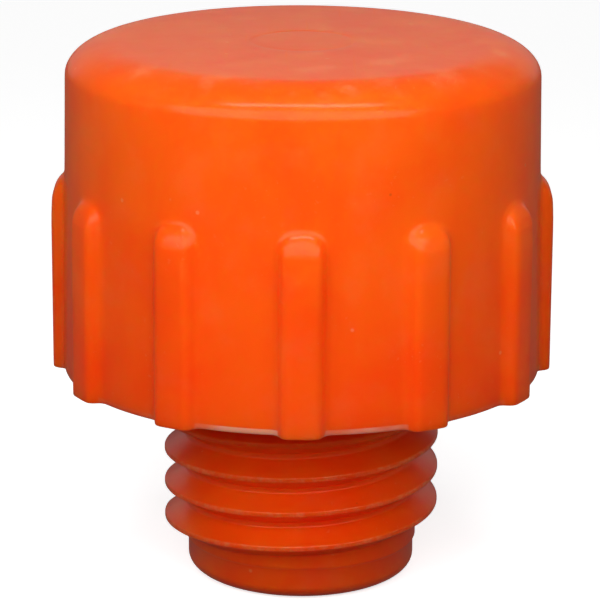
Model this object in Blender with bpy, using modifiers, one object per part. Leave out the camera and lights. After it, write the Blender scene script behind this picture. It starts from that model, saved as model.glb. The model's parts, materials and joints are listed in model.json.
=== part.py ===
"""Screw-in moulded face for a soft-face hammer.

One plastic moulding: a drafted round head with a rounded striking edge, twelve grip ribs
around its lower wall, a flat seat underneath, and a threaded stud that ends in a plain pilot.
The origin is at the middle of the stud's flat end, and +Z points at the striking face.
"""

import math

import bmesh
import bpy
from mathutils import Matrix, Vector

MM = 0.001

# Head
FACE_DIAMETER = 37.2 * MM         # wall, where the rounded striking edge starts
HEAD_HEIGHT = 26.3 * MM           # seat to striking face
WALL_DRAFT = math.radians(0.9)    # the wall widens towards the seat
EDGE_INSET = 4.2 * MM             # striking edge, measured across the face
EDGE_DROP = 2.5 * MM              # striking edge, measured down the wall
FOOT_EDGE_RADIUS = 0.3 * MM       # bottom corner of the wall between the ribs

# Grip ribs
RIB_COUNT = 12
RIB_WIDTH = 2.8 * MM              # across the outer face
RIB_PROTRUSION = 0.85 * MM        # beyond the foot of the wall
RIB_LENGTH = 15.2 * MM            # outer face, up from the seat
RIB_FLANK_DRAFT = math.radians(24.0)
RIB_EDGE_RADIUS = 0.5 * MM
RIB_ARCH = 0.35                   # corner radius of the rib's top, as a share of its width
RIB_EMBED = 0.8 * MM              # root of the rib inside the foot of the wall

# Stud
STUD_LENGTH = 16.9 * MM           # seat to stud end
NECK_LENGTH = 0.5 * MM            # plain neck between seat and thread
NECK_FILLET = 0.4 * MM
PILOT_LENGTH = 2.7 * MM           # plain pilot below the thread
PILOT_STEP = 0.18 * MM            # pilot radius below the thread root
END_INSET = 1.8 * MM              # rounded stud end, measured across the end
END_RISE = 1.25 * MM              # rounded stud end, measured up the pilot

# Thread: right hand, 60 degree form
THREAD_DIAMETER = 22.0 * MM
THREAD_PITCH = 2.82 * MM
THREAD_HALF_ANGLE = math.radians(30.0)
THREAD_START = math.radians(210.0)    # where the ridge leaves the neck, from -Y towards +X
THREAD_RUNOUT = math.radians(60.0)    # turn in which the ridge sinks into the stud
RIDGE_EMBED = 0.35 * MM               # root of the ridge inside the stud

# Facets
TURN_STEPS = 72                   # around the axis, for the turned body and for the thread
ARC_STEPS = 5
FILLET_STEPS = 3

# Derived sizes
THREAD_DEPTH = 0.6134 * THREAD_PITCH
THREAD_CREST = THREAD_PITCH / 8.0
RIDGE_BASE = THREAD_CREST + 2.0 * THREAD_DEPTH * math.tan(THREAD_HALF_ANGLE)
THREAD_TURNS = (STUD_LENGTH - NECK_LENGTH - PILOT_LENGTH - RIDGE_BASE) / THREAD_PITCH
CORE_RADIUS = THREAD_DIAMETER / 2.0 - THREAD_DEPTH
PILOT_RADIUS = CORE_RADIUS - PILOT_STEP
SEAT_Z = STUD_LENGTH
TOP_Z = SEAT_Z + HEAD_HEIGHT
WALL_RADIUS = FACE_DIAMETER / 2.0
FOOT_RADIUS = WALL_RADIUS + (HEAD_HEIGHT - EDGE_DROP) * math.tan(WALL_DRAFT)
RIB_RADIUS = FOOT_RADIUS + RIB_PROTRUSION

PLASTIC_COLOUR = (0.84, 0.10, 0.006, 1.0)


def clear_objects():
    """Remove whatever the scene already holds."""
    for existing in list(bpy.data.objects):
        bpy.data.objects.remove(existing)


def new_collection(name):
    """Add a collection to the scene."""
    collection = bpy.data.collections.new(name)
    bpy.context.scene.collection.children.link(collection)
    return collection


def new_object(name, bm, collection):
    """Turn a bmesh into an object in a collection."""
    mesh = bpy.data.meshes.new(name)
    bm.to_mesh(mesh)
    bm.free()
    made = bpy.data.objects.new(name, mesh)
    collection.objects.link(made)
    return made


def plastic(name):
    """Orange moulded plastic."""
    material = bpy.data.materials.new(name)
    material.use_nodes = True
    shader = material.node_tree.nodes["Principled BSDF"]
    shader.inputs["Base Color"].default_value = PLASTIC_COLOUR
    shader.inputs["Roughness"].default_value = 0.38
    shader.inputs["Metallic"].default_value = 0.0
    return material


def corner(centre, across, up, start, end, steps):
    """Points of an elliptical arc; angles run from +X towards +Z, ends included."""
    angles = [start + (end - start) * step / steps for step in range(steps + 1)]
    return [(centre[0] + across * math.cos(a), centre[1] + up * math.sin(a)) for a in angles]


def turned_profile():
    """Outer side of the body as (radius, height), from the striking face to the stud end."""
    right = math.pi / 2.0
    striking_edge = corner((WALL_RADIUS - EDGE_INSET, TOP_Z - EDGE_DROP),
                           EDGE_INSET, EDGE_DROP, right, 0.0, ARC_STEPS)
    foot = corner((FOOT_RADIUS - FOOT_EDGE_RADIUS, SEAT_Z + FOOT_EDGE_RADIUS),
                  FOOT_EDGE_RADIUS, FOOT_EDGE_RADIUS, 0.0, -right, FILLET_STEPS)
    neck = corner((CORE_RADIUS + NECK_FILLET, SEAT_Z - NECK_FILLET),
                  NECK_FILLET, NECK_FILLET, right, 2.0 * right, FILLET_STEPS)
    pilot = [
        (CORE_RADIUS, PILOT_LENGTH + PILOT_STEP),
        (PILOT_RADIUS, PILOT_LENGTH),
    ]
    stud_end = corner((PILOT_RADIUS - END_INSET, END_RISE),
                      END_INSET, END_RISE, 0.0, -right, ARC_STEPS - 1)
    return [(0.0, TOP_Z)] + striking_edge + foot + neck + pilot + stud_end + [(0.0, 0.0)]


def turned_body(collection):
    """Head and plain stud in one turned solid."""
    bm = bmesh.new()
    points = [bm.verts.new((radius, 0.0, height)) for radius, height in turned_profile()]
    for upper, lower in zip(points, points[1:]):
        bm.edges.new((upper, lower))
    body = new_object("screw_in_face", bm, collection)
    screw = body.modifiers.new("Turn", "SCREW")
    screw.axis = "Z"
    screw.angle = 2.0 * math.pi
    screw.steps = TURN_STEPS
    screw.render_steps = TURN_STEPS
    screw.use_merge_vertices = True
    screw.merge_threshold = 0.000001
    return body


def around(radius, angle, height):
    """A point at an angle measured from -Y towards +X."""
    return Vector((radius * math.sin(angle), -radius * math.cos(angle), height))


def grip_rib(collection, index):
    """One tapered rib with an arched top and rounded outer edges."""
    inner = FOOT_RADIUS - RIB_EMBED
    depth = RIB_RADIUS - inner
    flare = depth * math.tan(RIB_FLANK_DRAFT)
    bm = bmesh.new()
    bmesh.ops.create_cube(bm, size=1.0)
    for vert in bm.verts:
        side, outward, up = vert.co.x, -vert.co.y, vert.co.z + 0.5
        half_width = RIB_WIDTH / 2.0 + (flare if outward < 0.0 else 0.0)
        arch_rise = flare if outward < 0.0 else 0.0
        vert.co.x = math.copysign(half_width, side)
        vert.co.y = -(inner + depth * (outward + 0.5))
        vert.co.z = SEAT_Z + up * (RIB_LENGTH + arch_rise)

    shoulder = SEAT_Z + RIB_LENGTH / 2.0
    arch_edges = [edge for edge in bm.edges
                  if all(vert.co.z > shoulder for vert in edge.verts)
                  and edge.verts[0].co.x * edge.verts[1].co.x > 0.0]
    bmesh.ops.bevel(bm, geom=arch_edges, offset=RIB_WIDTH * RIB_ARCH, offset_type="OFFSET",
                    segments=ARC_STEPS, profile=0.5, affect="EDGES")

    front = -RIB_RADIUS + RIB_EDGE_RADIUS / 4.0
    outer_edges = [edge for edge in bm.edges
                   if all(vert.co.y < front for vert in edge.verts)
                   and not all(vert.co.z < SEAT_Z + RIB_EDGE_RADIUS / 4.0 for vert in edge.verts)]
    bmesh.ops.bevel(bm, geom=outer_edges, offset=RIB_EDGE_RADIUS, offset_type="OFFSET",
                    segments=FILLET_STEPS, profile=0.5, affect="EDGES")
    bmesh.ops.triangulate(bm, faces=[face for face in bm.faces if len(face.verts) > 4])
    turn = Matrix.Rotation(2.0 * math.pi * index / RIB_COUNT, 4, "Z")
    bmesh.ops.transform(bm, matrix=turn, verts=bm.verts)
    return new_object(f"rib_{index + 1:02d}", bm, collection)


def ridge_height(turned, total):
    """Thread depth at an angle along the ridge, sinking below the core at both ends."""
    from_end = min(turned, total - turned) / THREAD_RUNOUT
    grown = min(1.0, from_end)
    eased = grown * grown * (3.0 - 2.0 * grown)
    return -0.5 * RIDGE_EMBED + (THREAD_DEPTH + 0.5 * RIDGE_EMBED) * eased


def thread_ridge(collection):
    """The helical ridge, lofted from section to section because its ends fade out."""
    steps = round(THREAD_TURNS * TURN_STEPS)
    total = steps * 2.0 * math.pi / TURN_STEPS
    top = SEAT_Z - NECK_LENGTH - RIDGE_BASE / 2.0
    root = CORE_RADIUS - RIDGE_EMBED
    root_half = RIDGE_BASE / 2.0 + RIDGE_EMBED * math.tan(THREAD_HALF_ANGLE)
    bm = bmesh.new()
    sections = []
    for step in range(steps + 1):
        turned = total * step / steps
        angle = THREAD_START - turned
        middle = top - THREAD_PITCH * turned / (2.0 * math.pi)
        height = ridge_height(turned, total)
        crest = CORE_RADIUS + height
        crest_half = THREAD_CREST / 2.0 + (THREAD_DEPTH - height) * math.tan(THREAD_HALF_ANGLE)
        outline = [(root, root_half), (crest, crest_half), (crest, -crest_half), (root, -root_half)]
        sections.append([bm.verts.new(around(r, angle, middle + h)) for r, h in outline])
    for near, far in zip(sections, sections[1:]):
        for side in range(4):
            after = (side + 1) % 4
            bm.faces.new((near[side], near[after], far[after], far[side]))
    bm.faces.new(reversed(sections[0]))
    bm.faces.new(sections[-1])
    bmesh.ops.recalc_face_normals(bm, faces=bm.faces)
    bmesh.ops.triangulate(bm, faces=bm.faces)
    return new_object("thread_ridge", bm, collection)


def main():
    """Build the moulding."""
    clear_objects()
    parts = new_collection("hammer_face")
    added_shapes = new_collection("added_shapes")

    thread_ridge(added_shapes)
    for index in range(RIB_COUNT):
        grip_rib(added_shapes, index)
    for shape in added_shapes.objects:
        shape.hide_render = True
        shape.display_type = "WIRE"

    body = turned_body(parts)
    body.data.materials.append(plastic("orange_plastic"))
    union = body.modifiers.new("Add ribs and thread", "BOOLEAN")
    union.operation = "UNION"
    union.solver = "EXACT"
    union.operand_type = "COLLECTION"
    union.collection = added_shapes


main()
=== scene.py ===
"""Moulded looks of a screw-in hammer face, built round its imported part."""

import json
import math

import bmesh
import bpy
from bpy.props import FloatProperty, FloatVectorProperty, IntProperty, PointerProperty
from bpy.types import Operator, Panel, PropertyGroup
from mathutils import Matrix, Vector


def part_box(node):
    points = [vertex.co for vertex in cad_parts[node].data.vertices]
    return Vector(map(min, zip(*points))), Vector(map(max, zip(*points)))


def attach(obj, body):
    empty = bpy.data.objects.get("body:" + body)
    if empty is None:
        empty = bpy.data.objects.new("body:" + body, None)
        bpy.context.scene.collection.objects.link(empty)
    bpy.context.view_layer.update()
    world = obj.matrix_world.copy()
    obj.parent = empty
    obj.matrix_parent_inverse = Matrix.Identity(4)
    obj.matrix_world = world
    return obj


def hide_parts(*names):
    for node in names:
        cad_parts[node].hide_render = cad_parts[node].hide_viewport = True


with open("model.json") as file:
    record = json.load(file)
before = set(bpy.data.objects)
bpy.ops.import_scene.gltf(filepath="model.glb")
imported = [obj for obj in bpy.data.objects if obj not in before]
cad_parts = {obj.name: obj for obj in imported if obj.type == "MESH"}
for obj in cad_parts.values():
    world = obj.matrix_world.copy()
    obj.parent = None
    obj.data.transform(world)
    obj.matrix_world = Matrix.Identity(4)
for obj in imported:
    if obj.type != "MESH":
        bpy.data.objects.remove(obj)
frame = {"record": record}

bl_info = {
    "name": "Screw-in Hammer Face",
    "version": (1, 0, 0),
    "blender": (4, 5, 0),
    "location": "3D View > Sidebar > Hammer Face",
    "description": "Models the moulded face with its ribs and threaded stud, and a studio round it",
    "category": "Object",
}

MM = 0.001
TOUCH = 0.000002                  # closer than this, two points are one
RIGHT = math.pi / 2.0

NODE = "screw_in_face"
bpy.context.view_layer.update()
CAD_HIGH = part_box(NODE)[1]
TOP_Z = CAD_HIGH.z
RIB_RADIUS = CAD_HIGH.y
SEAT_Z = next(mount["pos_m"][2] for mount in frame["record"]["mounts"]
              if mount["name"] == "seating_face")


# ---------------------------------------------------------------- sizes and colours

class HeadSizes(PropertyGroup):
    """Sizes of the round head and its grip ribs."""

    face_diameter: FloatProperty(
        name="Face Diameter", description="Wall where the striking edge starts",
        default=37.2 * MM, unit="LENGTH", precision=5)
    wall_draft: FloatProperty(
        name="Wall Draft", description="Lean of the wall, wider towards the seat",
        default=math.radians(0.9), subtype="ANGLE")
    edge_inset: FloatProperty(
        name="Edge Inset", description="Striking edge, measured across the face",
        default=4.2 * MM, unit="LENGTH", precision=5)
    edge_drop: FloatProperty(
        name="Edge Drop", description="Striking edge, measured down the wall",
        default=2.5 * MM, unit="LENGTH", precision=5)
    foot_edge: FloatProperty(
        name="Foot Edge", description="Height of the rounding at the wall's bottom corner",
        default=0.6 * MM, unit="LENGTH", precision=5)
    foot_chamfer: FloatProperty(
        name="Foot Chamfer", description="How far the wall's bottom corner draws in",
        default=0.24 * MM, unit="LENGTH", precision=5)
    gate_radius: FloatProperty(
        name="Gate Mark Radius", description="Shallow round mark in the middle of the face",
        default=4.1 * MM, unit="LENGTH", precision=5)
    gate_depth: FloatProperty(
        name="Gate Mark Depth", description="How far the round mark is sunk",
        default=0.03 * MM, unit="LENGTH", precision=6)
    rib_count: IntProperty(
        name="Ribs", description="Grip ribs round the wall", default=12, min=3)
    rib_width: FloatProperty(
        name="Rib Width", description="Outer side of a rib, before its corners are rounded",
        default=2.8 * MM, unit="LENGTH", precision=5)
    rib_length: FloatProperty(
        name="Rib Length", description="Outer side of a rib, up from the seat",
        default=15.2 * MM, unit="LENGTH", precision=5)
    rib_draft: FloatProperty(
        name="Rib Draft", description="Lean of a rib's flanks",
        default=math.radians(24.0), subtype="ANGLE")
    rib_rounding: FloatProperty(
        name="Rib Rounding", description="Rounding of a rib's outer corners",
        default=0.68 * MM, unit="LENGTH", precision=5)
    rib_fillet: FloatProperty(
        name="Rib Fillet", description="Hollow rounding where a rib meets the wall",
        default=0.72 * MM, unit="LENGTH", precision=5)
    rib_foot_edge: FloatProperty(
        name="Rib Foot Edge", description="Rounding of a rib's bottom corner",
        default=0.12 * MM, unit="LENGTH", precision=5)
    rib_squareness: FloatProperty(
        name="Rib Squareness",
        description="Shape of a rib's top: 2 is a half round, more is squarer",
        default=3.0, min=2.0, max=8.0)
    rib_ramp: FloatProperty(
        name="Rib Ramp", description="How far down a rib's outer side starts to lean in to its top",
        default=2.3 * MM, unit="LENGTH", precision=5)
    rib_lean: FloatProperty(
        name="Rib Lean", description="Share of a rib's height that the ramp loses",
        default=0.45, min=0.0, max=0.8)


class StudSizes(PropertyGroup):
    """Sizes of the threaded stud."""

    thread_diameter: FloatProperty(
        name="Thread Diameter", description="Over the crests",
        default=22.0 * MM, unit="LENGTH", precision=5)
    pitch: FloatProperty(
        name="Pitch", description="From crest to crest",
        default=2.82 * MM, unit="LENGTH", precision=5)
    half_angle: FloatProperty(
        name="Flank Angle", description="Lean of a thread flank", default=math.radians(30.0),
        subtype="ANGLE")
    crest_rounding: FloatProperty(
        name="Crest Rounding", description="Rounding of the crest's corners",
        default=0.16 * MM, unit="LENGTH", precision=5)
    root_rounding: FloatProperty(
        name="Root Rounding", description="Rounding of the root's corners",
        default=0.24 * MM, unit="LENGTH", precision=5)
    start: FloatProperty(
        name="Thread Start", description="Where the ridge leaves the neck, from -Y towards +X",
        default=math.radians(210.0), subtype="ANGLE")
    runout: FloatProperty(
        name="Runout", description="Turn in which the ridge sinks into the stud",
        default=math.radians(60.0), subtype="ANGLE")
    neck_length: FloatProperty(
        name="Neck Length", description="Plain neck between seat and thread",
        default=0.5 * MM, unit="LENGTH", precision=5)
    neck_fillet: FloatProperty(
        name="Neck Fillet", description="Hollow rounding between neck and seat",
        default=0.4 * MM, unit="LENGTH", precision=5)
    pilot_length: FloatProperty(
        name="Pilot Length", description="Plain pilot below the thread",
        default=2.7 * MM, unit="LENGTH", precision=5)
    pilot_step: FloatProperty(
        name="Pilot Step", description="Pilot radius below the thread root",
        default=0.18 * MM, unit="LENGTH", precision=5)
    end_inset: FloatProperty(
        name="End Inset", description="Rounded stud end, measured across the end",
        default=1.8 * MM, unit="LENGTH", precision=5)
    end_rise: FloatProperty(
        name="End Rise", description="Rounded stud end, measured up the pilot",
        default=1.25 * MM, unit="LENGTH", precision=5)


class PlasticLook(PropertyGroup):
    """Colours and gloss of the moulded plastic."""

    body: FloatVectorProperty(
        name="Body", description="The plastic's own colour", subtype="COLOR", size=3,
        default=(0.96, 0.118, 0.003), min=0.0, max=1.0)
    # Deep also colours painted shade, deeper and redder down towards the stud.
    deep_and_shade: FloatVectorProperty(
        name="Deep", description="Where the pigment lies denser", subtype="COLOR", size=3,
        default=(0.93, 0.056, 0.001), min=0.0, max=1.0)
    # Bloom also colours the painted highlight along the thread's crests.
    bloom_and_highlight: FloatVectorProperty(
        name="Bloom", description="Pale rubbed and scuffed plastic", subtype="COLOR", size=3,
        default=(0.95, 0.30, 0.14), min=0.0, max=1.0)
    grime: FloatVectorProperty(
        name="Grime", description="Dirt caught in pits and hollows", subtype="COLOR", size=3,
        default=(0.30, 0.045, 0.012), min=0.0, max=1.0)
    # Painted highlight: a pale band at the wall's foot standing in for light thrown up from the
    # table.
    foot_highlight: FloatVectorProperty(
        name="Chalk", description="Pale rubbed edge at the wall's foot", subtype="COLOR", size=3,
        default=(1.0, 0.42, 0.30), min=0.0, max=1.0)
    roughness: FloatProperty(
        name="Roughness", description="Roughness of the untouched surface", default=0.42,
        min=0.0, max=1.0)
    shine: FloatVectorProperty(
        name="Shine", description="Colour of the shine seen straight on", subtype="COLOR", size=3,
        default=(1.0, 0.3, 0.06), min=0.0, max=1.0)
    skin: FloatProperty(
        name="Skin", description="Weight of the thin glossy skin left by the mould", default=0.27,
        min=0.0, max=1.0)
    skin_roughness: FloatProperty(
        name="Skin Roughness", description="Roughness of the glossy skin", default=0.17,
        min=0.0, max=1.0)
    translucency: FloatProperty(
        name="Translucency", description="How much light spreads inside the plastic",
        default=0.75, min=0.0, max=1.0)


class StudioLook(PropertyGroup):
    """Floor, lights and camera."""

    floor: FloatVectorProperty(
        name="Floor", description="Colour of the plain floor", subtype="COLOR", size=3,
        default=(0.86, 0.86, 0.86), min=0.0, max=1.0)
    floor_glow: FloatProperty(
        name="Floor Glow", description="Light of the white table from beneath", default=0.70,
        min=0.0)
    ambient: FloatProperty(
        name="Ambient", description="Soft light from all around", default=0.11, min=0.0)
    key: FloatProperty(
        name="Key", description="Large soft light in front, in watts", default=0.365, min=0.0)
    strip: FloatProperty(
        name="Strip", description="Long light overhead, in watts", default=0.12, min=0.0)
    back: FloatProperty(
        name="Back", description="Low pale card behind, in watts", default=0.075, min=0.0)
    table: FloatProperty(
        name="Table", description="Light thrown up from the table in front, in watts", default=0.03,
        min=0.0)
    lens: FloatProperty(
        name="Lens", description="Focal length in millimetres", default=197.8, min=1.0)


# ---------------------------------------------------------------- modelling helpers

def deselect_all():
    """Leave edit mode and select nothing."""
    if bpy.context.mode != "OBJECT":
        bpy.ops.object.mode_set(mode="OBJECT")
    bpy.ops.object.select_all(action="DESELECT")


def make_active(piece):
    """Select one piece alone."""
    deselect_all()
    piece.select_set(True)
    bpy.context.view_layer.objects.active = piece


def new_piece(name, add, **settings):
    """Add a primitive with nothing else selected, and give it its name."""
    deselect_all()
    add(**settings)
    piece = bpy.context.active_object
    piece.name = name
    piece.data.name = name
    return piece


def edit(piece, kind):
    """Go into edit mode with nothing selected."""
    make_active(piece)
    bpy.ops.object.mode_set(mode="EDIT")
    bpy.ops.mesh.select_mode(type=kind)
    bpy.ops.mesh.select_all(action="DESELECT")


def pick_points(piece, test):
    """In edit mode, select the points whose place passes a test."""
    bm = bmesh.from_edit_mesh(piece.data)
    for vert in bm.verts:
        vert.select_set(test(vert.co))
    bm.select_flush(True)
    bmesh.update_edit_mesh(piece.data)


def pick_rims(piece, *heights):
    """In edit mode, select the open rims at these heights and nothing else."""
    bpy.ops.mesh.select_all(action="DESELECT")
    bm = bmesh.from_edit_mesh(piece.data)
    for edge in bm.edges:
        level = any(all(abs(vert.co.z - height) < TOUCH for vert in edge.verts)
                    for height in heights)
        if edge.is_boundary and level:
            edge.select_set(True)
    bmesh.update_edit_mesh(piece.data)


def draw_rim(radius, height, outline):
    """Extrude the selected round rim through a list of (radius, height)."""
    for next_radius, next_height in outline:
        bpy.ops.mesh.extrude_edges_move(
            TRANSFORM_OT_translate={"value": (0.0, 0.0, next_height - height)})
        share = next_radius / radius
        bpy.ops.transform.resize(value=(share, share, 1.0), center_override=(0.0, 0.0, 0.0))
        radius, height = next_radius, next_height


def close_rim():
    """Draw the selected rim together into one middle point."""
    bpy.ops.mesh.extrude_edges_move()
    bpy.ops.mesh.merge(type="CENTER")


def apply_modifier(piece, name, kind, **settings):
    """Add a modifier, set it and apply it."""
    make_active(piece)
    modifier = piece.modifiers.new(name, kind)
    for setting, value in settings.items():
        setattr(modifier, setting, value)
    bpy.ops.object.modifier_apply(modifier=modifier.name)


def arc(centre, across, up, start, end, steps):
    """Points after the first on an elliptical arc, as (radius, height)."""
    turns = [start + (end - start) * step / steps for step in range(1, steps + 1)]
    return [(centre[0] + across * math.cos(t), centre[1] + up * math.sin(t)) for t in turns]


# ---------------------------------------------------------------- head

CORNER_STEPS = 3
WALL_STEPS = 3
LEG_STEPS = 10
ARCH_STEPS = 9
SHOULDER_STEPS = 3                # arch rows that end on the tile's side, the rest end on its top
RIB_PLAIN_SHARES = (0.0, 0.35, 0.7)  # columns on a rib's flat outer side, from its middle
SEAT_BAND = 1.5 * MM              # ring of the seat that is laid out with the wall
EDGE_STEPS = 14
FACE_RINGS = (0.93, 0.82, 0.7, 0.58, 0.46, 0.36)  # on the flat face, as shares of its radius
MARK_LIP = 0.22 * MM              # slope round the mark in the middle of the face
MARK_RINGS = (                    # (lips outside the mark's radius, share of its depth)
    (1.0, 0.0), (0.5, 0.3), (0.0, 1.0), (-1.5, 1.0), (-2.5, 0.35), (-3.5, 0.15))
MARK_MIDDLE = 0.1                 # share of the mark's depth at its middle
MARK_MIDDLE_RINGS = (0.5, 0.2)    # rings there, as shares of the mark's radius
SMOOTH_ANGLE = math.radians(40.0)


def foot_radius(head):
    """Wall radius at the seat."""
    drop = TOP_Z - SEAT_Z - head.edge_drop
    return head.face_diameter / 2.0 + drop * math.tan(head.wall_draft)


def rib_section(head, tall):
    """Across half a rib: (offset from its outer side's edge, height above the wall)."""
    lean = head.rib_draft
    half_turn = (RIGHT - lean) / 2.0
    flare = tall * math.tan(lean)
    top_run = head.rib_rounding * math.tan(half_turn)
    base_run = head.rib_fillet * math.tan(half_turn)
    points = []
    for step in range(CORNER_STEPS + 1):
        turned = 2.0 * half_turn * step / CORNER_STEPS
        points.append((-top_run + head.rib_rounding * math.sin(turned),
                       tall - head.rib_rounding * (1.0 - math.cos(turned))))
    for step in range(CORNER_STEPS + 1):
        turned = 2.0 * half_turn * (1.0 - step / CORNER_STEPS)
        points.append((flare + base_run - head.rib_fillet * math.sin(turned),
                       head.rib_fillet * (1.0 - math.cos(turned))))
    return points


def tile_columns(head, up):
    """Half a rib and its wall at a height above the seat: (offset, height, share of wall)."""
    tall = RIB_RADIUS - foot_radius(head) + up * math.tan(head.wall_draft)
    section = rib_section(head, tall)
    half = head.rib_width / 2.0
    plain = section[0][0] + half
    columns = [(-half + plain * share, tall, 0.0) for share in RIB_PLAIN_SHARES]
    columns += [(offset, height, 0.0) for offset, height in section]
    end = section[-1][0]
    columns += [(end, 0.0, step / WALL_STEPS) for step in range(1, WALL_STEPS + 1)]
    return columns


def tile_point(head, row, column):
    """A point of the flat half tile, seen along +Y; its left border is the rib's middle."""
    width = math.pi * foot_radius(head) / head.rib_count
    wall = TOP_Z - SEAT_Z - head.edge_drop
    half = head.rib_width / 2.0
    arch_base = head.rib_length - half
    foot_rows = CORNER_STEPS + 1
    leg = row - foot_rows
    turned = max(0, leg - LEG_STEPS) * RIGHT / ARCH_STEPS
    # The bottom rounding is small under a rib and fuller under the wall.
    foot_columns = tile_columns(head, 0.0)
    on_rib = min(1.0, foot_columns[column][1] / foot_columns[0][1])
    rounding = head.foot_edge + (head.rib_foot_edge - head.foot_edge) * on_rib
    up = rounding
    if leg > 0:
        up += (arch_base - rounding) * min(leg, LEG_STEPS) / LEG_STEPS
    offset, height, share = tile_columns(head, up)[column]
    square = head.rib_squareness
    reach = half + offset
    reach /= (math.cos(turned) ** square + math.sin(turned) ** square) ** (1.0 / square)
    x = reach * math.cos(turned)
    z = up + reach * math.sin(turned)
    ramp = max(0.0, min(1.0, 1.0 + (z - head.rib_length) / head.rib_ramp))
    height *= 1.0 - head.rib_lean * ramp * ramp
    if share > 0.0:
        over = leg - LEG_STEPS
        border_x, border_z = width, up
        if over > SHOULDER_STEPS:
            border_x = width * (ARCH_STEPS - over) / (ARCH_STEPS - SHOULDER_STEPS)
            border_z = wall
        elif over > 0:
            border_z = up + (wall - up) * over / SHOULDER_STEPS
        x += (border_x - x) * share
        z += (border_z - z) * share
    y = z * math.tan(head.wall_draft) - height
    if leg < 0:
        sunk = min(1.0, -leg / CORNER_STEPS) * RIGHT
        inset = head.foot_chamfer + (head.rib_foot_edge - head.foot_chamfer) * on_rib
        y += inset * (1.0 - math.cos(sunk))
        z = rounding * (1.0 - math.sin(sunk))
        if row == 0:
            y = SEAT_BAND
    return Vector((x, y, SEAT_Z + z))


def ribbed_wall(head):
    """The wall with its ribs: one flat tile, repeated, bent round and closed."""
    across = len(tile_columns(head, 0.0)) - 1
    upward = CORNER_STEPS + 1 + LEG_STEPS + ARCH_STEPS
    wall = new_piece("moulded_face", bpy.ops.mesh.primitive_grid_add,
                     x_subdivisions=across, y_subdivisions=upward, size=1.0)
    for vert in wall.data.vertices:
        column = round((vert.co.x + 0.5) * across)
        row = round((vert.co.y + 0.5) * upward)
        vert.co = tile_point(head, row, column)
    apply_modifier(wall, "Other half", "MIRROR", merge_threshold=TOUCH)
    edit(wall, "VERT")
    bpy.ops.mesh.select_all(action="SELECT")
    bpy.ops.mesh.remove_doubles(threshold=TOUCH)
    # The tile's corners are held, so that rounding leaves its border straight.
    border = math.pi * foot_radius(head) / head.rib_count - TOUCH
    pick_points(wall, lambda place: abs(place.x) > border
                and (place.z > TOP_Z - head.edge_drop - TOUCH or place.y > SEAT_BAND - TOUCH))
    bpy.ops.transform.vert_crease(value=1.0)
    apply_modifier(wall, "Round off", "SUBSURF", levels=1, render_levels=1)
    apply_modifier(wall, "Ribs in a row", "ARRAY", count=head.rib_count,
                   use_merge_vertices=True, merge_threshold=TOUCH)
    apply_modifier(wall, "Round the head", "SIMPLE_DEFORM", deform_method="BEND",
                   deform_axis="Z", angle=2.0 * math.pi)
    edit(wall, "VERT")
    bpy.ops.mesh.select_all(action="SELECT")
    bpy.ops.transform.translate(value=(0.0, -foot_radius(head), 0.0))
    bpy.ops.mesh.remove_doubles(threshold=TOUCH)
    deselect_all()
    return wall


def face_outline(head):
    """Striking edge and face as (radius, height), from the wall's top to near the middle."""
    flat = head.face_diameter / 2.0 - head.edge_inset
    edge = arc((flat, TOP_Z - head.edge_drop), head.edge_inset, head.edge_drop,
               0.0, RIGHT, EDGE_STEPS)
    plain = [(flat * share, TOP_Z) for share in FACE_RINGS]
    mark = [(head.gate_radius + lips * MARK_LIP, TOP_Z - share * head.gate_depth)
            for lips, share in MARK_RINGS]
    middle = [(head.gate_radius * share, TOP_Z - MARK_MIDDLE * head.gate_depth)
              for share in MARK_MIDDLE_RINGS]
    return edge + plain + mark + middle


# ---------------------------------------------------------------- stud

THREAD_FORM_DEPTH = 0.6134        # depth of the thread form, as a share of the pitch
CREST_HALF_SHARE = 1.0 / 16.0     # half of the crest's width, as a share of the pitch
TURN_STEPS = 192
CREST_STEPS = 4
FLANK_STEPS = 4
FILLET_STEPS = 6
END_STEPS = 10
END_RINGS = (0.8, 0.55, 0.3, 0.1)  # on the flat end, as shares of its radius
STEP_BREAK = 0.5                  # how far in the pilot's slope is broken, as a share of its step
STEP_FALL = (0.3, -0.4)           # heights of the break and the slope's end, from the pilot's top


def thread_depth(stud):
    """Ridge height above the root."""
    return THREAD_FORM_DEPTH * stud.pitch


def core_radius(stud):
    """Radius at the thread's root."""
    return stud.thread_diameter / 2.0 - thread_depth(stud)


def half_ridge(stud):
    """Half a pitch of the thread form: (height along the stud from the crest's middle, radius)."""
    half_turn = (RIGHT - stud.half_angle) / 2.0
    slope = math.tan(stud.half_angle)
    depth = thread_depth(stud)
    crest_half = stud.pitch * CREST_HALF_SHARE
    base_half = crest_half + depth * slope
    top = core_radius(stud) + depth
    crest_run = stud.crest_rounding * math.tan(half_turn)
    root_run = stud.root_rounding * math.tan(half_turn)
    points = [(0.0, top)]
    for step in range(CREST_STEPS + 1):
        turned = 2.0 * half_turn * step / CREST_STEPS
        points.append((crest_half - crest_run + stud.crest_rounding * math.sin(turned),
                       top - stud.crest_rounding * (1.0 - math.cos(turned))))
    first = points[-1]
    last = (base_half + root_run - stud.root_rounding * math.sin(2.0 * half_turn),
            core_radius(stud) + stud.root_rounding * (1.0 - math.cos(2.0 * half_turn)))
    for step in range(1, FLANK_STEPS):
        share = step / FLANK_STEPS
        points.append((first[0] + (last[0] - first[0]) * share,
                       first[1] + (last[1] - first[1]) * share))
    for step in range(CREST_STEPS + 1):
        turned = 2.0 * half_turn * (1.0 - step / CREST_STEPS)
        points.append((base_half + root_run - stud.root_rounding * math.sin(turned),
                       core_radius(stud) + stud.root_rounding * (1.0 - math.cos(turned))))
    points.append((stud.pitch / 2.0, core_radius(stud)))
    return points


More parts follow.
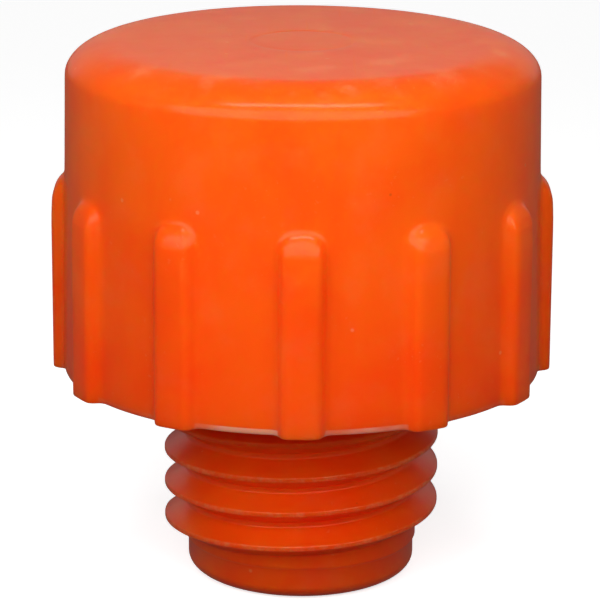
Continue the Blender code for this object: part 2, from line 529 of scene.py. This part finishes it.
def threaded_stud(stud):
    """The stud: one pitch of the thread form, screwed up, trimmed and drawn out at both ends."""
    base_half = stud.pitch * CREST_HALF_SHARE + thread_depth(stud) * math.tan(stud.half_angle)
    first_crest = SEAT_Z - stud.neck_length - base_half
    last_crest = stud.pilot_length + base_half
    total = (first_crest - last_crest) / stud.pitch * 2.0 * math.pi
    core = core_radius(stud)
    upper, lower = SEAT_Z - stud.neck_length, stud.pilot_length + stud.pilot_step

    # The form starts at +X, a quarter turn on from -Y, below the stud's end.
    crest = first_crest - stud.pitch * (stud.start - RIGHT) / (2.0 * math.pi)
    crest -= stud.pitch * math.ceil(crest / stud.pitch)
    side = half_ridge(stud)
    form = [(radius, crest + up) for up, radius in side]
    form = [(radius, crest - up) for up, radius in reversed(side[1:])] + form
    piece = new_piece("stud", bpy.ops.mesh.primitive_plane_add, size=1.0)
    edit(piece, "VERT")
    pick_points(piece, lambda place: place.x > 0.0 or place.y > 0.0)
    bpy.ops.mesh.delete(type="VERT")
    bpy.ops.mesh.select_all(action="SELECT")
    place = Vector((-0.5, -0.5, 0.0))
    target = Vector((form[0][0], 0.0, form[0][1]))
    bpy.ops.transform.translate(value=target - place)
    for radius, height in form[1:]:
        place, target = target, Vector((radius, 0.0, height))
        bpy.ops.mesh.extrude_vertices_move(TRANSFORM_OT_translate={"value": target - place})
    turns = math.ceil((upper - crest) / stud.pitch + 0.5)
    apply_modifier(piece, "Thread", "SCREW", axis="Z", angle=2.0 * math.pi, steps=TURN_STEPS,
                   render_steps=TURN_STEPS, screw_offset=stud.pitch, iterations=turns)

    for vert in piece.data.vertices:
        angle = math.atan2(vert.co.x, -vert.co.y)
        behind = stud.start - angle - (first_crest - vert.co.z) / stud.pitch * 2.0 * math.pi
        turned = stud.start - angle - 2.0 * math.pi * round(behind / (2.0 * math.pi))
        grown = max(0.0, min(1.0, min(turned, total - turned) / stud.runout))
        eased = grown * grown * (3.0 - 2.0 * grown)
        radius = math.hypot(vert.co.x, vert.co.y)
        share = (core + (radius - core) * eased) / radius
        vert.co.x *= share
        vert.co.y *= share

    edit(piece, "VERT")
    for level, beyond in ((upper, 1.0), (lower, -1.0)):
        pick_points(piece, lambda place: (place.z - level) * beyond > -TOUCH)
        bpy.ops.transform.resize(value=(1.0, 1.0, 0.0), center_override=(0.0, 0.0, level))
    bpy.ops.mesh.select_all(action="SELECT")
    bpy.ops.mesh.remove_doubles(threshold=TOUCH)
    bpy.ops.mesh.dissolve_degenerate(threshold=TOUCH)

    bpy.ops.mesh.select_mode(type="EDGE")
    pick_rims(piece, upper)
    fillet = arc((core + stud.neck_fillet, SEAT_Z - stud.neck_fillet),
                 stud.neck_fillet, stud.neck_fillet, 2.0 * RIGHT, RIGHT, FILLET_STEPS)
    draw_rim(core, upper, [(core, SEAT_Z - stud.neck_fillet)] + fillet)

    pilot = core - stud.pilot_step
    pick_rims(piece, lower)
    radii = (core - STEP_BREAK * stud.pilot_step, pilot)
    step = [(radius, stud.pilot_length + fall * stud.pilot_step)
            for radius, fall in zip(radii, STEP_FALL)]
    end = arc((pilot - stud.end_inset, stud.end_rise), stud.end_inset, stud.end_rise,
              0.0, -RIGHT, END_STEPS)
    flat = [(end[-1][0] * share, 0.0) for share in END_RINGS]
    draw_rim(core, lower, step + [(pilot, stud.end_rise)] + end + flat)
    close_rim()
    deselect_all()
    return piece


# ---------------------------------------------------------------- material

# Scales of the patterns, in cells per metre.
MOTTLE = 120.0
STREAKS = 420.0
PATCHES = 330.0
CREST_GLINT = 1500.0
FOOT_BREAKS = 210.0
HANDLING = 120.0
SPECKS = 520.0
SATIN = 620.0
WAVES = 300.0
ORANGE_PEEL = 2300.0
FLOOR_GRAIN = 60.0
SCRATCH_SETS = (                  # (turn that sets it apart, cells per metre along X, Y and Z)
    ((0.3, 0.2, 0.5), (2400.0, 90.0, 2400.0)),
    ((1.1, 0.7, 2.1), (2600.0, 110.0, 2600.0)),
    ((0.2, 1.4, 1.2), (2200.0, 80.0, 2200.0)))

# Where wear and the painted highlights lie.
FACE_FADE = (1.2 * MM, 0.1 * MM)          # below the striking face
SEAT_FADE = 0.1 * MM                      # on both sides of the seat
FOOT_LINE = (0.48 * MM, 0.56 * MM)        # above the seat
# The painted foot highlight fades out behind the front.
FRONT_FADE = (-17.0 * MM, -15.5 * MM)     # along Y
RIB_CLEAR = (0.75 * MM, 0.55 * MM)        # inside the ribs' outer sides
CREST_FADE = (0.12 * MM, 0.01 * MM)       # inside the thread's outer diameter
OPEN_THREAD = (4.6 * MM, 3.9 * MM)        # below the seat, out of the head's shade

# How light behaves in the plastic.
PLASTIC_IOR = 1.5
LIGHT_SPREAD = (1.0, 0.12, 0.03)
SPREAD_DEPTH = 3.5 * MM
BUMP_HEIGHT = 0.001 * MM


class Number:
    """A shader value; arithmetic on it adds Math nodes."""

    def __init__(self, look, socket):
        self.look = look
        self.socket = socket

    def math(self, operation, *values):
        return self.look.value("ShaderNodeMath", {"operation": operation}, list(values))

    def __add__(self, other):
        return self.math("ADD", self, other)

    def __sub__(self, other):
        return self.math("SUBTRACT", self, other)

    def __rsub__(self, other):
        return self.math("SUBTRACT", other, self)

    def __mul__(self, other):
        return self.math("MULTIPLY", self, other)

    def __gt__(self, other):
        return self.math("GREATER_THAN", self, other)

    __radd__ = __add__
    __rmul__ = __mul__


class Look:
    """A material's node tree, built by expressions."""

    def __init__(self, name):
        self.material = bpy.data.materials.new(name)
        self.material.use_nodes = True
        self.tree = self.material.node_tree
        self.shader = self.tree.nodes["Principled BSDF"]

    def put(self, socket, value):
        """Link a socket, or set it."""
        if isinstance(value, Number):
            value = value.socket
        if isinstance(value, bpy.types.NodeSocket):
            self.tree.links.new(value, socket)
        else:
            socket.default_value = value

    def node(self, kind, settings, inputs):
        """Add a node: its settings first, then its inputs by name or in order."""
        made = self.tree.nodes.new(kind)
        for setting, value in settings.items():
            setattr(made, setting, value)
        named = inputs.items() if isinstance(inputs, dict) else enumerate(inputs)
        for socket, value in named:
            self.put(made.inputs[socket], value)
        return made

    def value(self, kind, settings, inputs, output=0):
        """Add a node and take one of its outputs as a number."""
        return Number(self, self.node(kind, settings, inputs).outputs[output])

    def noise(self, place, scale, detail=2.0, roughness=0.5, distortion=0.0):
        """Soft noise from 0 to 1 at a scale in cells per metre."""
        return self.value("ShaderNodeTexNoise", {}, {
            "Vector": place, "Scale": scale, "Detail": detail, "Roughness": roughness,
            "Distortion": distortion})

    def between(self, value, low, high):
        """0 below low, 1 above high and smooth in between."""
        return self.value("ShaderNodeMapRange", {"interpolation_type": "SMOOTHSTEP", "clamp": True},
                          {"Value": value, "From Min": low, "From Max": high})

    def blend(self, factor, first, second):
        """Mix two colours."""
        made = self.node("ShaderNodeMix", {"data_type": "RGBA"}, {"Factor": factor})
        colours = [socket for socket in made.inputs if socket.type == "RGBA"]
        self.put(colours[0], first)
        self.put(colours[1], second)
        return next(socket for socket in made.outputs if socket.type == "RGBA")

    def stretched(self, place, turn, scale):
        """Coordinates scaled and then turned."""
        return self.node("ShaderNodeMapping", {"vector_type": "POINT"},
                         {"Vector": place, "Rotation": turn, "Scale": scale}).outputs[0]

    def finish(self, values):
        """Set or link the shader's own sockets by name."""
        for socket, value in values.items():
            self.put(self.shader.inputs[socket], value)


def opaque(colour):
    """A colour with full alpha."""
    return (*colour, 1.0)


WHITE = opaque((1.0, 1.0, 1.0))


def moulded_plastic(look, crest_radius):
    """Semi-gloss orange plastic with mottle, orange peel, scuffs, scratches and specks, with
    painted shade towards the stud and painted highlights on the crests and at the wall's foot.
    """
    paint = Look("moulded_orange_plastic")
    place = paint.node("ShaderNodeTexCoord", {}, {}).outputs["Object"]
    axes = paint.node("ShaderNodeSeparateXYZ", {}, {"Vector": place})
    height = Number(paint, axes.outputs["Z"])
    flat = paint.node("ShaderNodeVectorMath", {"operation": "MULTIPLY"}, [place, (1.0, 1.0, 0.0)])
    radius = paint.value("ShaderNodeVectorMath", {"operation": "LENGTH"}, [flat.outputs[0]],
                         "Value")

    # Where things lie: the striking face, the wall's foot, the thread's crests.
    on_face = paint.between(height, *(TOP_Z - down for down in FACE_FADE))
    above_seat = paint.between(height, SEAT_Z - SEAT_FADE, SEAT_Z + SEAT_FADE)
    in_front = 1.0 - paint.between(Number(paint, axes.outputs["Y"]), *FRONT_FADE)
    between_ribs = 1.0 - paint.between(radius, *(RIB_RADIUS - inside for inside in RIB_CLEAR))
    below_line = 1.0 - paint.between(height, *(SEAT_Z + up for up in FOOT_LINE))
    at_foot = below_line * above_seat * between_ribs
    lit_thread = 1.0 - paint.between(height, *(SEAT_Z - down for down in OPEN_THREAD))
    lit_crest = paint.between(radius, *(crest_radius - inside for inside in CREST_FADE)) * lit_thread

    # Colour: broad mottle and flow streaks down the wall, and painted shade that grows deeper and
    # redder towards the stud.
    mottle = paint.noise(place, MOTTLE, 4.0, 0.55, 0.6)
    drawn_out = paint.stretched(place, (0.0, 0.0, 0.0), (1.0, 1.0, 0.35))
    streaks = paint.noise(drawn_out, STREAKS, 4.0, 0.6)
    depth = paint.between(mottle * 0.7 + streaks * 0.3, 0.36, 0.66)
    # Painted shade: darker and redder from below the striking edge down onto the stud.
    lower = 1.0 - paint.between(height, SEAT_Z - 1.0 * MM, TOP_Z - 3.0 * MM)
    colour = paint.blend(depth * 0.45 + lower * 0.55, opaque(look.body), opaque(look.deep_and_shade))

    # Rubbed bloom patches on the face; painted highlights: thin pale lines along the crests out of
    # the head's shade, and a pale band along the foot, strongest at the front.
    patches = paint.between(paint.noise(place, PATCHES, 5.0, 0.62), 0.47, 0.72)
    rubbed = patches * (on_face * 0.30 + 0.05)
    # Painted highlight: thin pale line along the crests, only out of the head's shade.
    crest_highlight = lit_crest * paint.between(paint.noise(place, CREST_GLINT, 3.0, 0.6), 0.4, 0.7) * 0.3
    highlight_break = paint.between(paint.noise(place, FOOT_BREAKS, 2.0, 0.5), 0.38, 0.60)
    # Painted highlight of the table's light along the wall's foot, strongest at the front.
    foot_highlight_amount = at_foot * (0.05 + in_front * (0.10 + highlight_break * 0.5))

    # Three sets of fine scratches, drawn out from front to back and gathered in patches.
    sets = []
    for turn, along in SCRATCH_SETS:
        lines = paint.noise(paint.stretched(place, turn, along), 1.0, 2.0, 0.5)
        sets.append(paint.between(lines, 0.69, 0.74))
    handled = paint.between(paint.noise(place, HANDLING, 2.0, 0.5), 0.50, 0.66)
    scratches = (sets[0] + sets[1] + sets[2]) * (handled * 0.7 + on_face * 0.6)

    # Pale specks and dark pinholes.
    cells = paint.node("ShaderNodeTexVoronoi", {}, {"Vector": place, "Scale": SPECKS})
    gap = Number(paint, cells.outputs["Distance"])
    pick = paint.node("ShaderNodeSeparateColor", {}, [cells.outputs["Color"]])
    speck = (1.0 - paint.between(gap, 0.05, 0.11)) * (Number(paint, pick.outputs["Red"]) > 0.86)
    pinhole = (1.0 - paint.between(gap, 0.03, 0.08)) * (Number(paint, pick.outputs["Green"]) > 0.90)

    pale = paint.value("ShaderNodeClamp", {}, {
        "Value": rubbed + crest_highlight + scratches * 0.22 + speck * 0.45})
    colour = paint.blend(pale, colour, opaque(look.bloom_and_highlight))
    colour = paint.blend(foot_highlight_amount, colour, opaque(look.foot_highlight))
    colour = paint.blend(pinhole * 0.35, colour, opaque(look.grime))

    satin = paint.noise(place, SATIN, 4.0, 0.6)
    matt = (look.roughness + (satin - 0.5) * 0.10 + patches * (on_face * 0.10 + 0.03)
            + scratches * 0.12 - lit_crest * 0.06)

    # Relief: slow waves from shrinkage, orange peel, then the marks.
    waves = paint.noise(place, WAVES, 2.0, 0.5)
    peel = paint.noise(place, ORANGE_PEEL, 3.0, 0.55)
    relief = (waves * 11.0 + peel * 1.3 + streaks * 1.2 - scratches * 1.6 + speck * 2.5
              - pinhole * 5.0)
    bump = paint.node("ShaderNodeBump", {}, {
        "Strength": 1.0, "Distance": BUMP_HEIGHT, "Height": relief})

    paint.finish({
        "Base Color": colour,
        "Roughness": matt,
        "Normal": bump.outputs[0],
        "Metallic": 0.0,
        "IOR": PLASTIC_IOR,
        "Specular Tint": opaque(look.shine),
        "Coat Weight": look.skin - scratches * 0.05,
        "Coat Roughness": look.skin_roughness,
        "Subsurface Weight": look.translucency,
        "Subsurface Radius": LIGHT_SPREAD,
        "Subsurface Scale": SPREAD_DEPTH,
    })
    return paint.material


def plain_floor_paint(colour, glow):
    """Matt pale sheet with the faintest grain, lit a little from beneath."""
    paint = Look("pale_sheet")
    place = paint.node("ShaderNodeTexCoord", {}, {}).outputs["Object"]
    grain = paint.noise(place, FLOOR_GRAIN, 3.0, 0.5)
    shade = tuple(channel * 0.985 for channel in colour)
    paint.finish({
        "Base Color": paint.blend(grain, opaque(colour), opaque(shade)),
        "Roughness": 0.9,
        "Specular IOR Level": 0.0,
        "Emission Color": WHITE,
        "Emission Strength": glow,
    })
    return paint.material


# ---------------------------------------------------------------- operators

class OBJECT_OT_moulded_face(Operator):
    """Model the whole moulding: ribbed wall, striking face, seat and threaded stud"""

    bl_idname = "object.hammer_moulded_face"
    bl_label = "Moulded Face"

    def execute(self, context):
        head = context.scene.hammer_head
        stud = context.scene.hammer_stud
        face = ribbed_wall(head)
        edit(face, "EDGE")
        rim = TOP_Z - head.edge_drop
        pick_rims(face, rim)
        draw_rim(head.face_diameter / 2.0, rim, face_outline(head))
        close_rim()

        screw = threaded_stud(stud)
        make_active(screw)
        face.select_set(True)
        context.view_layer.objects.active = face
        bpy.ops.object.join()
        edit(face, "EDGE")
        pick_rims(face, SEAT_Z)
        bpy.ops.mesh.bridge_edge_loops()
        bpy.ops.mesh.select_all(action="SELECT")
        bpy.ops.mesh.remove_doubles(threshold=TOUCH)
        bpy.ops.mesh.normals_make_consistent(inside=False)
        make_active(face)
        bpy.ops.object.shade_smooth_by_angle(angle=SMOOTH_ANGLE)

        surface = bmesh.new()
        surface.from_mesh(face.data)
        loose = sum(1 for edge in surface.edges if len(edge.link_faces) != 2)
        surface.free()
        if loose:
            raise RuntimeError(f"the moulding isn't closed: {loose} edges don't join two faces")

        face.data.materials.clear()
        face.data.materials.append(
            moulded_plastic(context.scene.hammer_plastic, stud.thread_diameter / 2.0))
        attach(face, "root")
        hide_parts(NODE)
        return {"FINISHED"}


FLOOR_RADIUS = 1.2
FLOOR_INSET = 0.6
FLOOR_SIDES = 96

# Soft lights: (size across and up, place, where it points).
KEY = ((0.40, 0.10), (-0.012, -0.122, 0.105), (0.0, 0.0, 0.033))
STRIP = ((0.15, 0.022), (0.0, -0.055, 0.187), (0.0, -0.017, 0.043))
BACK = ((0.5, 0.14), (0.0, 0.30, 0.10), (0.0, 0.0, 0.043))
TABLE = ((0.16, 0.08), (0.0, -0.085, 0.002), (0.0, -0.085, 0.1))

CAMERA_PLACE = (0.0, -0.2529, 0.0932)
CAMERA_AIM = (-0.00015, 0.0, 0.0222)
CAMERA_ROLL = math.radians(0.3)
SENSOR_WIDTH = 36.0
NEAREST_SEEN = 0.01


def soft_light(name, power, size, place, aim):
    """A rectangular soft light that the camera doesn't see."""
    bpy.ops.object.light_add(type="AREA", location=place)
    lamp = bpy.context.active_object
    lamp.name = name
    lamp.data.shape = "RECTANGLE"
    lamp.data.size, lamp.data.size_y = size
    lamp.data.energy = power
    lamp.rotation_euler = (Vector(aim) - Vector(place)).to_track_quat("-Z", "Y").to_euler()
    lamp.visible_camera = False
    return lamp


class OBJECT_OT_hammer_studio(Operator):
    """Lay the pale floor and set the soft lights and the camera"""

    bl_idname = "object.hammer_studio"
    bl_label = "Studio"

    def execute(self, context):
        studio = context.scene.hammer_studio
        floor = new_piece("pale_floor", bpy.ops.mesh.primitive_circle_add,
                          vertices=FLOOR_SIDES, radius=FLOOR_RADIUS, fill_type="NGON")
        edit(floor, "FACE")
        bpy.ops.mesh.select_all(action="SELECT")
        bpy.ops.mesh.inset(thickness=FLOOR_INSET)
        bpy.ops.object.mode_set(mode="OBJECT")
        floor.data.materials.append(plain_floor_paint(studio.floor, studio.floor_glow))
        floor.visible_diffuse = False
        floor.visible_glossy = False

        deselect_all()
        soft_light("key_softbox", studio.key, *KEY)
        soft_light("overhead_strip", studio.strip, *STRIP)
        soft_light("back_card", studio.back, *BACK)
        glow = soft_light("table_glow", studio.table, *TABLE)
        glow.visible_glossy = False

        world = bpy.data.worlds.new("pale_room")
        world.use_nodes = True
        background = world.node_tree.nodes["Background"]
        background.inputs["Color"].default_value = WHITE
        background.inputs["Strength"].default_value = studio.ambient
        context.scene.world = world
        context.scene.view_settings.view_transform = "Standard"

        bpy.ops.object.camera_add(location=CAMERA_PLACE)
        camera = context.active_object
        camera.name = "studio_camera"
        camera.data.lens = studio.lens
        camera.data.sensor_width = SENSOR_WIDTH
        camera.data.clip_start = NEAREST_SEEN
        aim = Vector(CAMERA_AIM) - camera.location
        camera.rotation_euler = aim.to_track_quat("-Z", "Y").to_euler()
        camera.rotation_euler.rotate_axis("Z", CAMERA_ROLL)
        context.scene.camera = camera
        return {"FINISHED"}


class VIEW3D_PT_hammer_face(Panel):
    """Sidebar list of the steps and their sizes"""

    bl_label = "Hammer Face"
    bl_idname = "VIEW3D_PT_hammer_face"
    bl_space_type = "VIEW_3D"
    bl_region_type = "UI"
    bl_category = "Hammer Face"

    def draw(self, context):
        for step in STEPS:
            self.layout.operator(step.bl_idname)
        for name in GROUPS:
            box = self.layout.box()
            group = getattr(context.scene, name)
            for setting in group.__annotations__:
                box.prop(group, setting)


STEPS = (OBJECT_OT_moulded_face, OBJECT_OT_hammer_studio)
GROUPS = {
    "hammer_head": HeadSizes,
    "hammer_stud": StudSizes,
    "hammer_plastic": PlasticLook,
    "hammer_studio": StudioLook,
}


def register():
    """Add the groups, the steps and the panel."""
    for made in (*GROUPS.values(), *STEPS, VIEW3D_PT_hammer_face):
        bpy.utils.register_class(made)
    for name, group in GROUPS.items():
        setattr(bpy.types.Scene, name, PointerProperty(type=group))


def unregister():
    """Take them away again."""
    for name in GROUPS:
        delattr(bpy.types.Scene, name)
    for made in reversed((*GROUPS.values(), *STEPS, VIEW3D_PT_hammer_face)):
        bpy.utils.unregister_class(made)


def main():
    """Run every step in order."""
    register()
    bpy.ops.object.hammer_moulded_face()
    bpy.ops.object.hammer_studio()


if __name__ == "__main__":
    main()
